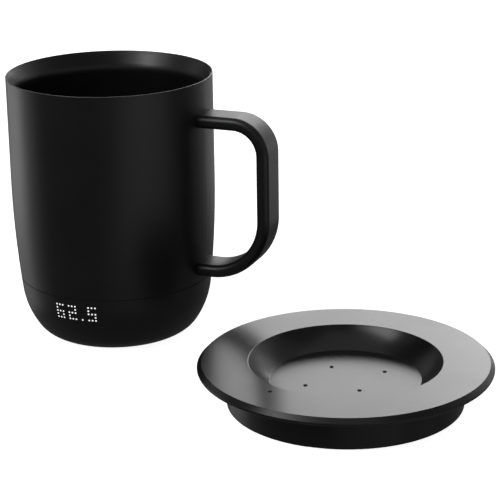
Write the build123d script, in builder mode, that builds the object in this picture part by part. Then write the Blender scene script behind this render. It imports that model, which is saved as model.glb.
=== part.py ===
from build123d import *
import math
import os

os.makedirs("parts", exist_ok=True)

# Driving sizes of the mug's outer form: millimetres, radii from the mug's axis, heights from the table
rim_radius = 40.0
mug_height = 104.3
foot_form_radius = 22.9
base_bend_radius = 11.4
base_bend_turn = 56.0
flank_bend_radius = 31.8
flank_bend_turn = 83.7
seam_height = 24.15

# Driving sizes of the handle, measured to the middle of its bar from the axis, the rim and the seam
handle_reach = 65.2
handle_rim_drop = 15.0
handle_seam_rise = 5.6
handle_top_bend = 11.9
handle_bottom_run = 3.3
handle_width = 14.0
handle_thickness = 5.0
handle_edge_round = 2.1
handle_top = mug_height - handle_rim_drop
handle_bottom = seam_height + handle_seam_rise
handle_bottom_bend = handle_reach - rim_radius - handle_bottom_run

# Driving sizes and place of the charging coaster
coaster_x = 111.0
coaster_y = -42.8
coaster_height = 16.24
flange_radius = 53.6
flange_thickness = 2.9
dish_floor_height = 8.8
coaster_base_radius = 43.0
coaster_base_flare = 0.8
indicator_inset = 4.1
indicator_azimuth = -112.2
outer_pin_radius = 15.75
inner_pin_radius = 12.05
pin_azimuth = 43.4

# Readout on the mug's front: columns of dots counted from its middle, rows from the top
readout = "62.5"
dot_pitch = 1.35
dot_radius = 0.32
readout_seam_drop = 5.86
digit_starts = {0: -6, 1: -2, 3: 4}
digit_columns = 3
digit_lines = 5
point_column = 2
digit_rows = {
    "2": ("111", "001", "111", "100", "111"),
    "5": ("111", "100", "111", "001", "111"),
    "6": ("111", "100", "111", "101", "111"),
}
never_lit = ((1, 1), (3, 1))
readout_height = seam_height - readout_seam_drop
coaster_base_top_radius = coaster_base_radius + coaster_base_flare
indicator_radius = coaster_base_top_radius - indicator_inset

# Walls, gaps and the overrun of every cut
shell_wall = 0.9
vessel_wall = 0.8
housing_wall = 1.6
seat_gap = 0.15
slide_gap = 0.1
screw_gap = 0.05
overrun = 1.0


def arc_table():
    """Centre, radius and the turns at both ends of the three arcs up the mug's side."""
    first = math.radians(base_bend_turn)
    second = math.radians(flank_bend_turn)
    step = base_bend_radius - flank_bend_radius
    flank_x = foot_form_radius + step * math.sin(first)
    flank_z = base_bend_radius - step * math.cos(first)
    reach = flank_x + flank_bend_radius * math.sin(second)
    side_radius = (rim_radius - reach) / (1 - math.sin(second))
    side_x = rim_radius - side_radius
    side_z = flank_z + (side_radius - flank_bend_radius) * math.cos(second)
    return (
        (foot_form_radius, base_bend_radius, base_bend_radius, 0, base_bend_turn),
        (flank_x, flank_z, flank_bend_radius, base_bend_turn, flank_bend_turn),
        (side_x, side_z, side_radius, flank_bend_turn, 90),
    )


def form_radius(height, inset=0):
    """Radius of the mug's side at a height, drawn in by an even inset."""
    for x, z, radius, low_turn, high_turn in arc_table():
        bend = radius - inset
        if height <= z - bend * math.cos(math.radians(high_turn)):
            return x + math.sqrt(bend**2 - (z - height) ** 2)
    return rim_radius - inset


def wall_section(outer_inset, inner_inset, low, high):
    """Half section between two insets of the mug's form, from one height to another."""
    with BuildSketch() as section:
        for inset, mode in ((outer_inset, Mode.ADD), (inner_inset, Mode.SUBTRACT)):
            if inset is not None:
                with BuildLine():
                    Polyline((0, mug_height), (0, inset), (foot_form_radius, inset))
                    for x, z, radius, low_turn, high_turn in arc_table():
                        CenterArc((x, z), radius - inset, low_turn - 90, high_turn - low_turn)
                    side_end = (rim_radius - inset, z)
                    Polyline(side_end, (rim_radius - inset, mug_height), (0, mug_height))
                make_face(mode=mode)
        with Locations((0, (low + high) / 2)):
            Rectangle(4 * rim_radius, high - low, mode=Mode.INTERSECT)
    return section.sketch


def polar(radius, azimuth):
    """Point at a radius and azimuth."""
    turn = math.radians(azimuth)
    return (radius * math.cos(turn), radius * math.sin(turn))


def radial_plane(azimuth):
    """Upright half plane from the mug's axis: X runs outward, Y runs up."""
    x, y = polar(1, azimuth)
    return Plane((0, 0, 0), x_dir=(x, y, 0), z_dir=(y, -x, 0))


# Heights inside the mug's base, from the foot upward
cover_low = 0.5
cover_thickness = 2.5
cover_top = cover_low + cover_thickness
ledge_thickness = 1.6
ledge_top = cover_top + ledge_thickness
post_height = 0.7
board_low = ledge_top + post_height
board_thickness = 1.2
board_top = board_low + board_thickness
chip_room = 1.3
holder_low = board_top + chip_room
holder_plate = 1.2
holder_floor = holder_low + holder_plate
cell_radius = 9.15
cell_length = 35.0
cell_gap = 0.25
cell_height = holder_floor + cell_gap + cell_radius
pad_low = cell_height + cell_radius + 2 * cell_gap
pad_thickness = 2.0
film_thickness = 0.3
heater_thickness = 1.0
film_low = pad_low + pad_thickness
heater_low = film_low + film_thickness
vessel_low = heater_low + heater_thickness
vessel_floor = vessel_low + vessel_wall

# Outer shell: drawn steel, from the seam to the rounded lip
seam_gap = 0.3
lip_crest = 0.35
lip_round = 0.15
flare_turn = 25.0
seam_low = seam_height - seam_gap / 2
seam_top = seam_height + seam_gap / 2
handle_screw_radius = 1.5
shell_section = wall_section(0, shell_wall, seam_top, mug_height)
shell_inside = rim_radius - shell_wall
lip_inside = rim_radius - lip_crest
flare_slope = math.tan(math.radians(flare_turn))
vessel_top = mug_height - (shell_wall - lip_crest) / flare_slope

with BuildPart() as outer_shell:
    with BuildSketch(Plane.XZ):
        add(shell_section)
        with BuildLine():
            lip_low = (shell_inside, vessel_top)
            Polyline(lip_low, (lip_inside, mug_height), (shell_inside, mug_height), lip_low)
        make_face(mode=Mode.SUBTRACT)
    revolve(axis=Axis.Z)
    fillet(outer_shell.edges().group_by(Axis.Z)[-1].sort_by(SortBy.RADIUS)[-1], lip_round)
    with BuildSketch(Plane.YZ):
        with Locations((0, handle_top), (0, handle_bottom)):
            Circle(handle_screw_radius + screw_gap)
    extrude(amount=rim_radius + overrun, mode=Mode.SUBTRACT)

outer_shell.part.label = "outer_shell"
export_step(outer_shell.part, "parts/outer_shell.step")

# Inner vessel: flares at the mouth to meet the shell, straight below, rounded into its floor
vessel_setback = 3.4
vessel_floor_bend = 7.2
mouth_land = 0.12
flare_bend = 7.0
vessel_radius = rim_radius - vessel_setback
flare_foot = vessel_top - (shell_inside - mouth_land - vessel_radius) / flare_slope
vessel_outside = vessel_radius + vessel_wall
flare_foot_outside = flare_foot + vessel_wall * math.tan(math.radians(flare_turn / 2))
flare_end_outside = flare_foot_outside + (shell_inside - vessel_outside) / flare_slope

with BuildPart() as inner_vessel:
    with BuildSketch(Plane.XZ):
        with BuildLine():
            FilletPolyline(
                (0, vessel_low),
                (vessel_outside, vessel_low),
                (vessel_outside, flare_foot_outside),
                (shell_inside, flare_end_outside),
                (shell_inside, vessel_top),
                radius=[vessel_floor_bend + vessel_wall, flare_bend, 0],
            )
            Polyline((shell_inside, vessel_top), (0, vessel_top), (0, vessel_low))
        make_face()
        with BuildLine():
            FilletPolyline(
                (0, vessel_floor),
                (vessel_radius, vessel_floor),
                (vessel_radius, flare_foot),
                (shell_inside - mouth_land, vessel_top),
                radius=[vessel_floor_bend, flare_bend],
            )
            Polyline((shell_inside - mouth_land, vessel_top), (0, vessel_top), (0, vessel_floor))
        make_face(mode=Mode.SUBTRACT)
    revolve(axis=Axis.Z)

inner_vessel.part.label = "inner_vessel"
export_step(inner_vessel.part, "parts/inner_vessel.step")

# Handle: one flat bar bent into a D, its ends cut to the shell
handle_root = 4.0
handle_screw_length = 7.0
handle_start = form_radius(handle_bottom) - handle_root
mug_solid_section = wall_section(0, None, 0, mug_height)

with BuildPart() as handle:
    with BuildLine(Plane.XZ) as handle_path:
        FilletPolyline(
            (handle_start, handle_top),
            (handle_reach, handle_top),
            (handle_reach, handle_bottom),
            (handle_start, handle_bottom),
            radius=[handle_top_bend, handle_bottom_bend],
        )
    with BuildSketch(Plane((handle_start, 0, handle_top), x_dir=(0, 1, 0), z_dir=(1, 0, 0))):
        RectangleRounded(handle_width, handle_thickness, handle_edge_round)
    sweep(path=handle_path.wires()[0])
    with BuildSketch(Plane.XZ):
        add(mug_solid_section)
    revolve(axis=Axis.Z, mode=Mode.SUBTRACT)
    with BuildSketch(Plane.YZ):
        with Locations((0, handle_top), (0, handle_bottom)):
            Circle(handle_screw_radius + screw_gap)
    extrude(amount=rim_radius + handle_screw_length, mode=Mode.SUBTRACT)

handle.part.label = "handle"
export_step(handle.part, "parts/handle.step")

# Handle screws: low heads inside the shell, shanks out into the handle's ends
handle_screw_head_radius = 2.75
handle_screw_head = 1.2
socket_radius = 1.1
socket_depth = 0.6

with BuildPart() as handle_screws:
    for screw_height in (handle_top, handle_bottom):
        screw_face = form_radius(screw_height - handle_screw_head_radius, shell_wall) - seat_gap
        with BuildSketch(Plane.YZ.offset(screw_face)):
            with Locations((0, screw_height)):
                Circle(handle_screw_head_radius)
        extrude(amount=-handle_screw_head)
        with BuildSketch(Plane.YZ.offset(screw_face)):
            with Locations((0, screw_height)):
                Circle(handle_screw_radius)
        extrude(amount=handle_screw_length)
        with BuildSketch(Plane.YZ.offset(screw_face - handle_screw_head)):
            with Locations((0, screw_height)):
                RegularPolygon(socket_radius, 6)
        extrude(amount=socket_depth, mode=Mode.SUBTRACT)

handle_screws.part.label = "handle_screws"
export_step(handle_screws.part, "parts/handle_screws.step")

# Seam gasket: thin dark ring between the shell and the base housing, set back from the surface
gasket_setback = 0.25
gasket_section = wall_section(gasket_setback, shell_wall, seam_low, seam_top)

with BuildPart() as seam_gasket:
    with BuildSketch(Plane.XZ):
        add(gasket_section)
    revolve(axis=Axis.Z)

seam_gasket.part.label = "seam_gasket"
export_step(seam_gasket.part, "parts/seam_gasket.step")

# Readout: one round light guide in each of its bores, through the front wall of the base housing
dot_bore_radius = dot_radius + screw_gap
column_turn = math.degrees(dot_pitch / form_radius(readout_height))
front_azimuth = -90.0
baffle_thickness = 1.6
readout_board_thickness = 0.4
readout_margin = 1.2
middle_line = digit_lines // 2
readout_reach = middle_line * dot_pitch + dot_radius + readout_margin
readout_low = readout_height - readout_reach
readout_high = readout_height + readout_reach
readout_turn = 2 * (max(digit_starts.values()) + digit_columns + 1) * column_turn
baffle_inset = housing_wall + baffle_thickness
readout_board_inset = baffle_inset + readout_board_thickness


def readout_places():
    """Every dot of the readout as (azimuth, height, lit)."""
    places = []
    for index, mark in enumerate(readout):
        if mark == ".":
            places.append((point_column, digit_lines - 1, True))
            continue
        for row, pattern in enumerate(digit_rows[mark]):
            for column, state in enumerate(pattern):
                if (row, column) not in never_lit:
                    places.append((digit_starts[index] + column, row, state == "1"))
    return [
        (front_azimuth + column * column_turn, readout_height + (middle_line - row) * dot_pitch, lit)
        for column, row, lit in places
    ]


def dot_plane(azimuth, height):
    """Plane inside the front wall, facing outward, at one dot."""
    start = form_radius(height, readout_board_inset + overrun)
    x, y = polar(start, azimuth)
    return Plane((x, y, height), z_dir=(x / start, y / start, 0))


dot_run = readout_board_inset + 2 * overrun
with BuildPart() as dot_bores:
    for azimuth, height, lit in readout_places():
        with BuildSketch(dot_plane(azimuth, height)):
            Circle(dot_bore_radius)
        extrude(amount=dot_run)

# Base housing: moulded cup under the shell, with a ledge for the bottom cover and a spigot into the shell
cover_reach = 1.3
ledge_reach = 4.2
foot_ring_setback = 0.2
foot_ring_width = 4.0
spigot_wall = 1.2
spigot_height = 2.2
spigot_root = 1.2
cover_screw_azimuth = 60.0
cover_screw_radius = 0.95
cover_screw_depth = 0.9
board_edge_gap = 2.0
chassis_post_radius = 2.8
chassis_screw_radius = 1.0
chassis_screw_head_radius = 2.0
chassis_screw_head = 1.2
chassis_screw_grip = 1.7
cover_radius = foot_form_radius + cover_reach
ledge_bore_radius = cover_radius - ledge_reach
foot_ring_outside = cover_radius - foot_ring_setback
foot_ring_inside = foot_ring_outside - foot_ring_width
cover_screw_circle = (foot_ring_inside + foot_ring_outside) / 2
main_board_radius = form_radius(board_low, housing_wall) - board_edge_gap
chassis_screw_circle = main_board_radius - chassis_post_radius
spigot_inset = shell_wall + screw_gap
housing_section = wall_section(0, None, cover_low, seam_low)
housing_cavity_section = wall_section(housing_wall, None, ledge_top, mug_height)
spigot_section = wall_section(
    spigot_inset, spigot_inset + spigot_wall, seam_low - spigot_root, seam_low + spigot_height
)

with BuildPart() as base_housing:
    with BuildSketch(Plane.XZ):
        add(housing_section)
        add(housing_cavity_section, mode=Mode.SUBTRACT)
        Rectangle(2 * ledge_bore_radius, 2 * ledge_top, mode=Mode.SUBTRACT)
        Rectangle(2 * (cover_radius + seat_gap), 2 * cover_top, mode=Mode.SUBTRACT)
        add(spigot_section)
    revolve(axis=Axis.Z)
    with BuildSketch(Plane.XY.offset(ledge_top)):
        with PolarLocations(chassis_screw_circle, 3):
            Circle(chassis_post_radius)
    extrude(amount=post_height)
    with BuildSketch(Plane.XY.offset(board_low)):
        with PolarLocations(chassis_screw_circle, 3):
            Circle(chassis_screw_radius + screw_gap)
    extrude(amount=-chassis_screw_grip - screw_gap, mode=Mode.SUBTRACT)
    with BuildSketch(Plane.XY.offset(cover_top)):
        with PolarLocations(cover_screw_circle, 3, cover_screw_azimuth):
            Circle(cover_screw_radius + screw_gap)
    extrude(amount=cover_screw_depth + screw_gap, mode=Mode.SUBTRACT)
    add(dot_bores.part, mode=Mode.SUBTRACT)

base_housing.part.label = "base_housing"
export_step(base_housing.part, "parts/base_housing.step")

# Light guides: lit and unlit dots, flush with the wall on both sides
front_wall_section = wall_section(0, housing_wall, readout_low, readout_high)
with BuildPart() as front_wall:
    with BuildSketch(radial_plane(front_azimuth - readout_turn / 2)):
        add(front_wall_section)
    revolve(axis=Axis.Z, revolution_arc=readout_turn)

with BuildPart() as readout_dots_lit:
    for azimuth, height, lit in readout_places():
        if lit:
            with BuildSketch(dot_plane(azimuth, height)):
                Circle(dot_radius)
            extrude(amount=dot_run)
    add(front_wall.part, mode=Mode.INTERSECT)

readout_dots_lit.part.label = "readout_dots_lit"
export_step(readout_dots_lit.part, "parts/readout_dots_lit.step")

with BuildPart() as readout_dots_unlit:
    for azimuth, height, lit in readout_places():
        if not lit:
            with BuildSketch(dot_plane(azimuth, height)):
                Circle(dot_radius)
            extrude(amount=dot_run)
    add(front_wall.part, mode=Mode.INTERSECT)

readout_dots_unlit.part.label = "readout_dots_unlit"
export_step(readout_dots_unlit.part, "parts/readout_dots_unlit.step")

# Readout baffle: keeps each lamp's light in its own bore
baffle_bore_radius = 0.58
baffle_section = wall_section(housing_wall, baffle_inset, readout_low, readout_high)

with BuildPart() as readout_baffle:
    with BuildSketch(radial_plane(front_azimuth - readout_turn / 2)):
        add(baffle_section)
    revolve(axis=Axis.Z, revolution_arc=readout_turn)
    for azimuth, height, lit in readout_places():
        with BuildSketch(dot_plane(azimuth, height)):
            Circle(baffle_bore_radius)
        extrude(amount=dot_run, mode=Mode.SUBTRACT)

readout_baffle.part.label = "readout_baffle"
export_step(readout_baffle.part, "parts/readout_baffle.step")

# Readout board: thin curved board behind the baffle, with one small lamp for each dot
readout_board_section = wall_section(baffle_inset, readout_board_inset, readout_low, readout_high)

with BuildPart() as readout_board:
    with BuildSketch(radial_plane(front_azimuth - readout_turn / 2)):
        add(readout_board_section)
    revolve(axis=Axis.Z, revolution_arc=readout_turn)

readout_board.part.label = "readout_board"
export_step(readout_board.part, "parts/readout_board.step")

lamp_side = 0.6
lamp_height = 0.5
lamp_section = wall_section(baffle_inset - lamp_height, baffle_inset, readout_low, readout_high)
with BuildPart() as lamp_layer:
    with BuildSketch(radial_plane(front_azimuth - readout_turn / 2)):
        add(lamp_section)
    revolve(axis=Axis.Z, revolution_arc=readout_turn)

with BuildPart() as readout_lamps:
    for azimuth, height, lit in readout_places():
        with BuildSketch(dot_plane(azimuth, height)):
            Rectangle(lamp_side, lamp_side)
        extrude(amount=dot_run)
    add(lamp_layer.part, mode=Mode.INTERSECT)

readout_lamps.part.label = "readout_lamps"
export_step(readout_lamps.part, "parts/readout_lamps.step")

# Bottom cover: disc that closes the base, with grooves for the contact rings and the seal
foot_ring_height = 1.0
contact_ring_width = 2.0
contact_ring_depth = 0.8
contact_ring_drop = 0.4
button_radius = 4.8
cover_screw_head_radius = 1.8
cover_screw_head = 0.8
seal_width = 0.6
seal_depth = 0.5
seal_margin = 0.25
stud_radius = 0.6
outer_stud_azimuth = 205.0
inner_stud_azimuth = 25.0
cover_head_top = foot_ring_height + cover_screw_head
seal_radius = ledge_bore_radius + seal_margin + seal_width / 2
ring_places = ((outer_pin_radius, outer_stud_azimuth), (inner_pin_radius, inner_stud_azimuth))

with BuildPart() as bottom_cover:
    with BuildSketch(Plane.XY.offset(cover_low)):
        Circle(cover_radius)
        Circle(button_radius + slide_gap, mode=Mode.SUBTRACT)
    extrude(amount=cover_thickness)
    with BuildSketch(Plane.XY.offset(cover_low)):
        Circle(cover_radius)
        Circle(foot_ring_inside - slide_gap, mode=Mode.SUBTRACT)
    extrude(amount=foot_ring_height - cover_low, mode=Mode.SUBTRACT)
    for ring_radius, stud_azimuth in ring_places:
        with BuildSketch(Plane.XY.offset(cover_low)):
            Circle(ring_radius + contact_ring_width / 2 + screw_gap)
            Circle(ring_radius - contact_ring_width / 2 - screw_gap, mode=Mode.SUBTRACT)
        extrude(amount=contact_ring_depth, mode=Mode.SUBTRACT)
        with BuildSketch(Plane.XY.offset(cover_low)):
            with Locations(polar(ring_radius, stud_azimuth)):
                Circle(stud_radius + screw_gap)
        extrude(amount=cover_thickness, mode=Mode.SUBTRACT)
    with BuildSketch(Plane.XY.offset(foot_ring_height)):
        with PolarLocations(cover_screw_circle, 3, cover_screw_azimuth):
            Circle(cover_screw_head_radius + slide_gap)
    extrude(amount=cover_screw_head, mode=Mode.SUBTRACT)
    with BuildSketch(Plane.XY.offset(foot_ring_height)):
        with PolarLocations(cover_screw_circle, 3, cover_screw_azimuth):
            Circle(cover_screw_radius + slide_gap)
    extrude(amount=cover_thickness, mode=Mode.SUBTRACT)
    with BuildSketch(Plane.XY.offset(cover_top)):
        Circle(seal_radius + seal_width / 2 + screw_gap)
        Circle(seal_radius - seal_width / 2 - screw_gap, mode=Mode.SUBTRACT)
    extrude(amount=-seal_depth, mode=Mode.SUBTRACT)

bottom_cover.part.label = "bottom_cover"
export_step(bottom_cover.part, "parts/bottom_cover.step")

with BuildPart() as bottom_seal:
    with BuildSketch(Plane.XY.offset(cover_top)):
        Circle(seal_radius + seal_width / 2)
        Circle(seal_radius - seal_width / 2, mode=Mode.SUBTRACT)
    extrude(amount=-seal_depth)

bottom_seal.part.label = "bottom_seal"
export_step(bottom_seal.part, "parts/bottom_seal.step")

with BuildPart() as foot_ring:
    with BuildSketch():
        Circle(foot_ring_outside)
        Circle(foot_ring_inside, mode=Mode.SUBTRACT)
    extrude(amount=foot_ring_height)

foot_ring.part.label = "foot_ring"
export_step(foot_ring.part, "parts/foot_ring.step")

with BuildPart() as bottom_cover_screws:
    with BuildSketch(Plane.XY.offset(foot_ring_height)):
        with PolarLocations(cover_screw_circle, 3, cover_screw_azimuth):
            Circle(cover_screw_head_radius)
    extrude(amount=cover_screw_head)
    with BuildSketch(Plane.XY.offset(cover_head_top)):
        with PolarLocations(cover_screw_circle, 3, cover_screw_azimuth):
            Circle(cover_screw_radius)
    extrude(amount=cover_top + cover_screw_depth - cover_head_top)
    with BuildSketch(Plane.XY.offset(foot_ring_height)):
        with PolarLocations(cover_screw_circle, 3, cover_screw_azimuth):
            RegularPolygon(cover_screw_radius, 6)
    extrude(amount=socket_depth, mode=Mode.SUBTRACT)

bottom_cover_screws.part.label = "bottom_cover_screws"
export_step(bottom_cover_screws.part, "parts/bottom_cover_screws.step")

# Contact rings: two metal rings a little proud of the cover, each with a stud up through it
stud_rise = 0.2
stud_top = cover_top + stud_rise
ring_names = ("contact_ring_outer", "contact_ring_inner")

for ring_name, (ring_radius, stud_azimuth) in zip(ring_names, ring_places):
    with BuildPart() as contact_ring:
        with BuildSketch(Plane.XY.offset(cover_low - contact_ring_drop)):
            Circle(ring_radius + contact_ring_width / 2)
            Circle(ring_radius - contact_ring_width / 2, mode=Mode.SUBTRACT)
        extrude(amount=contact_ring_drop + contact_ring_depth)
        with BuildSketch(Plane.XY.offset(cover_low)):
            with Locations(polar(ring_radius, stud_azimuth)):
                Circle(stud_radius)
        extrude(amount=stud_top - cover_low)
    contact_ring.part.label = ring_name
    export_step(contact_ring.part, f"parts/{ring_name}.step")

# Ring springs: two bent leaves between the studs and the board above them
leaf_thickness = 0.2
leaf_width = 1.6
leaf_reach = 1.8
leaf_tip = 1.2
leaf_tip_rise = 0.5
leaf_bend = 0.4
leaf_high = board_low - leaf_thickness / 2
leaf_low = stud_top + leaf_thickness / 2

with BuildPart() as ring_springs:
    for ring_radius, stud_azimuth in ring_places:
        leaf_x, leaf_y = polar(ring_radius, stud_azimuth)
        out_x, out_y = polar(1, stud_azimuth)
        leaf_plane = Plane((leaf_x, leaf_y, 0), x_dir=(-out_y, out_x, 0), z_dir=(out_x, out_y, 0))
        with BuildSketch(leaf_plane):
            with BuildLine() as leaf_line:
                FilletPolyline(
                    (-leaf_reach, leaf_high),
                    (leaf_reach, leaf_high),
                    (0, leaf_low),
                    (-leaf_tip, leaf_low + leaf_tip_rise),
                    radius=leaf_bend,
                )
            trace(line_width=leaf_thickness)
        extrude(amount=leaf_width / 2, both=True)

ring_springs.part.label = "ring_springs"
export_step(ring_springs.part, "parts/ring_springs.step")

# Power button: pushed up from below against the switch, kept in by its flange
button_recess = 0.4
button_flange_radius = 6.0
button_flange = 0.55
button_dimple_radius = 2.6
button_dimple = 0.25
switch_side = 4.0
switch_body = 0.7
switch_tip_radius = 0.9
boot_inside = 4.6
boot_outside = 5.8
button_low = cover_low + button_recess
button_flange_low = cover_top + screw_gap
button_top = button_flange_low + button_flange
button_travel = 0.5
switch_tip_low = button_top + button_travel + screw_gap

with BuildPart() as power_button:
    with BuildSketch(Plane.XY.offset(button_low)):
        Circle(button_radius)
    extrude(amount=button_top - button_low)
    with BuildSketch(Plane.XY.offset(button_flange_low)):
        Circle(button_flange_radius)
    extrude(amount=button_flange)
    with BuildSketch(Plane.XY.offset(button_low)):
        Circle(button_dimple_radius)
    extrude(amount=button_dimple, mode=Mode.SUBTRACT)

power_button.part.label = "power_button"
export_step(power_button.part, "parts/power_button.step")

with BuildPart() as button_boot:
    with BuildSketch(Plane.XY.offset(button_top)):
        Circle(boot_outside)
        Circle(boot_inside, mode=Mode.SUBTRACT)
    extrude(amount=board_low - button_top)

button_boot.part.label = "button_boot"
export_step(button_boot.part, "parts/button_boot.step")

with BuildPart() as power_switch:
    with BuildSketch(Plane.XY.offset(board_low)):
        Rectangle(switch_side, switch_side)
    extrude(amount=-switch_body)
    with BuildSketch(Plane.XY.offset(board_low - switch_body)):
        Circle(switch_tip_radius)
    extrude(amount=switch_tip_low - board_low + switch_body)

power_switch.part.label = "power_switch"
export_step(power_switch.part, "parts/power_switch.step")

# Main board: round, on three posts of the base housing
with BuildPart() as main_board:
    with BuildSketch(Plane.XY.offset(board_low)):
        Circle(main_board_radius)
        with PolarLocations(chassis_screw_circle, 3):
            Circle(chassis_screw_radius + slide_gap, mode=Mode.SUBTRACT)
    extrude(amount=board_thickness)

main_board.part.label = "main_board"
export_step(main_board.part, "parts/main_board.step")

# Board parts: processor, charger, two power coils and the socket for the readout's ribbon
chip_height = 1.0
coil_round = 1.0
processor_side = 7.0
charger_side = 5.0
coil_side = 6.0
ribbon_width = 6.0
ribbon_end = 23.5
socket_width = 8.0
socket_length = 3.0
processor_share = (-0.30, 0.28)
charger_share = (0.32, 0.30)
coil_shares = ((0.34, -0.30), (-0.28, -0.34))


def shared_places(radius, shares):
    """Places on a round board, given as shares of its radius."""
    return [(radius * x, radius * y) for x, y in shares]



with BuildPart() as main_board_parts:
    with BuildSketch(Plane.XY.offset(board_top)):
        with Locations(*shared_places(main_board_radius, [processor_share])):
            Rectangle(processor_side, processor_side)
        with Locations(*shared_places(main_board_radius, [charger_share])):
            Rectangle(charger_side, charger_side)
        with Locations(*shared_places(main_board_radius, coil_shares)):
            RectangleRounded(coil_side, coil_side, coil_round)
        with Locations((0, socket_length / 2 - ribbon_end)):
            Rectangle(socket_width, socket_length)
    extrude(amount=chip_height)

main_board_parts.part.label = "main_board_parts"
export_step(main_board_parts.part, "parts/main_board_parts.step")

# Readout ribbon: from the readout's board down to its socket on the main board
ribbon_thickness = 0.2
ribbon_overlap = 1.4
ribbon_drop = 1.6
ribbon_bend = 1.2
ribbon_foot = 2.4
ribbon_turn_room = 3.0
ribbon_face = form_radius(readout_low, readout_board_inset) - seat_gap - ribbon_thickness

with BuildPart() as readout_ribbon:
    with BuildSketch(Plane.YZ):
        with BuildLine():
            FilletPolyline(
                (-ribbon_face, readout_low + ribbon_overlap),
                (-ribbon_face, readout_low - ribbon_drop),
                (-ribbon_end - ribbon_turn_room, board_top + ribbon_thickness / 2),
                (-ribbon_end, board_top + ribbon_thickness / 2),
                radius=ribbon_bend,
            )
        trace(line_width=ribbon_thickness)
    extrude(amount=ribbon_width / 2, both=True)

readout_ribbon.part.label = "readout_ribbon"
export_step(readout_ribbon.part, "parts/readout_ribbon.step")

# Battery holder: cradle for two cells side by side, on three feet over the main board
cell_pitch = 2 * cell_radius + 2 * cell_gap
contact_thickness = 0.3
contact_height = 8.0
holder_wall = 1.2
holder_end_wall = 2.0
holder_rim_drop = 0.8
holder_foot_radius = 2.6
tab_width = 3.0
tab_gap = 0.2
lead_inset = 2.6
lead_spread = 3.0
lead_radius = 0.7
lead_circle = main_board_radius - lead_inset
pocket_length = cell_length + 2 * contact_thickness + 2 * cell_gap
holder_length = pocket_length + 2 * holder_end_wall
holder_width = cell_pitch + 2 * cell_radius + 2 * cell_gap + 2 * holder_wall
holder_top = cell_height - holder_rim_drop
contact_low = cell_height - contact_height / 2
contact_middle = (cell_length + contact_thickness) / 2
strip_width = cell_pitch + contact_height
cell_sides = (-cell_pitch / 2, cell_pitch / 2)
lead_places = [(-lead_circle, -lead_spread), (-lead_circle, lead_spread)]

with BuildPart() as battery_holder:
    with BuildSketch(Plane.XY.offset(holder_low)):
        Circle(main_board_radius)
    extrude(amount=holder_plate)
    with BuildSketch(Plane.XY.offset(holder_low)):
        Rectangle(holder_length, holder_width)
    extrude(amount=holder_top - holder_low)
    with BuildSketch(Plane.YZ.offset(-pocket_length / 2)):
        with Locations(*[(side, cell_height) for side in cell_sides]):
            Circle(cell_radius + cell_gap)
    extrude(amount=pocket_length, mode=Mode.SUBTRACT)
    with BuildSketch(Plane.XY.offset(board_top)):
        with PolarLocations(chassis_screw_circle, 3):
            Circle(holder_foot_radius)
    extrude(amount=chip_room)
    with BuildSketch(Plane.XY.offset(board_top)):
        with PolarLocations(chassis_screw_circle, 3):
            Circle(chassis_screw_radius + slide_gap)
    extrude(amount=holder_floor - board_top, mode=Mode.SUBTRACT)
    with BuildSketch(Plane.XY.offset(holder_low)):
        with Locations(*[(contact_middle, side) for side in cell_sides]):
            Rectangle(contact_thickness + 2 * tab_gap, tab_width + 2 * tab_gap)
        with Locations(*lead_places):
            Circle(lead_radius + tab_gap)
        with Locations((0, -(ribbon_end + main_board_radius) / 2)):
            Rectangle(ribbon_width + 2 * overrun, main_board_radius - ribbon_end + overrun)
    extrude(amount=holder_plate + overrun, mode=Mode.SUBTRACT)
    with BuildSketch(Plane.XY.offset(contact_low - tab_gap)):
        with Locations((-contact_middle, 0)):
            Rectangle(contact_thickness + 2 * tab_gap, strip_width + 2 * tab_gap)
    extrude(amount=contact_height, mode=Mode.SUBTRACT)

battery_holder.part.label = "battery_holder"
export_step(battery_holder.part, "parts/battery_holder.step")

with BuildPart() as chassis_screws:
    with BuildSketch(Plane.XY.offset(holder_floor)):
        with PolarLocations(chassis_screw_circle, 3):
            Circle(chassis_screw_head_radius)
    extrude(amount=chassis_screw_head)
    with BuildSketch(Plane.XY.offset(board_low - chassis_screw_grip)):
        with PolarLocations(chassis_screw_circle, 3):
            Circle(chassis_screw_radius)
    extrude(amount=holder_floor - board_low + chassis_screw_grip)
    with BuildSketch(Plane.XY.offset(holder_floor + chassis_screw_head)):
        with PolarLocations(chassis_screw_circle, 3):
            RegularPolygon(socket_radius, 6)
    extrude(amount=-socket_depth, mode=Mode.SUBTRACT)

chassis_screws.part.label = "chassis_screws"
export_step(chassis_screws.part, "parts/chassis_screws.step")

# Battery cells: two short lithium cells, their caps pointing opposite ways
cap_radius = 3.0
cap_length = 1.2
cell_edge = 0.5
cell_body = cell_length - cap_length

for index, side in enumerate(cell_sides):
    way = 1 - 2 * index
    with BuildPart() as battery_cell:
        with BuildSketch(Plane.YZ.offset(-way * cell_length / 2)):
            with Locations((side, cell_height)):
                Circle(cell_radius)
        extrude(amount=way * cell_body)
        fillet(battery_cell.edges().filter_by(GeomType.CIRCLE), cell_edge)
        with BuildSketch(Plane.YZ.offset(way * (cell_body - cell_length / 2))):
            with Locations((side, cell_height)):
                Circle(cap_radius)
        extrude(amount=way * cap_length)
    battery_cell.part.label = f"battery_cell_{index + 1}"
    export_step(battery_cell.part, f"parts/battery_cell_{index + 1}.step")

# Battery contacts: one strip joins the cells, two plates run down to the board

with BuildPart() as battery_contacts:
    with BuildSketch(Plane.YZ.offset(-cell_length / 2)):
        with Locations((0, cell_height)):
            Rectangle(strip_width, contact_height)
    extrude(amount=-contact_thickness)
    with BuildSketch(Plane.YZ.offset(cell_length / 2)):
        with Locations(*[(side, cell_height) for side in cell_sides]):
            Rectangle(contact_height, contact_height)
        with Locations(*[(side, (contact_low + board_top) / 2) for side in cell_sides]):
            Rectangle(tab_width, contact_low - board_top)
    extrude(amount=contact_thickness)

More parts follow.
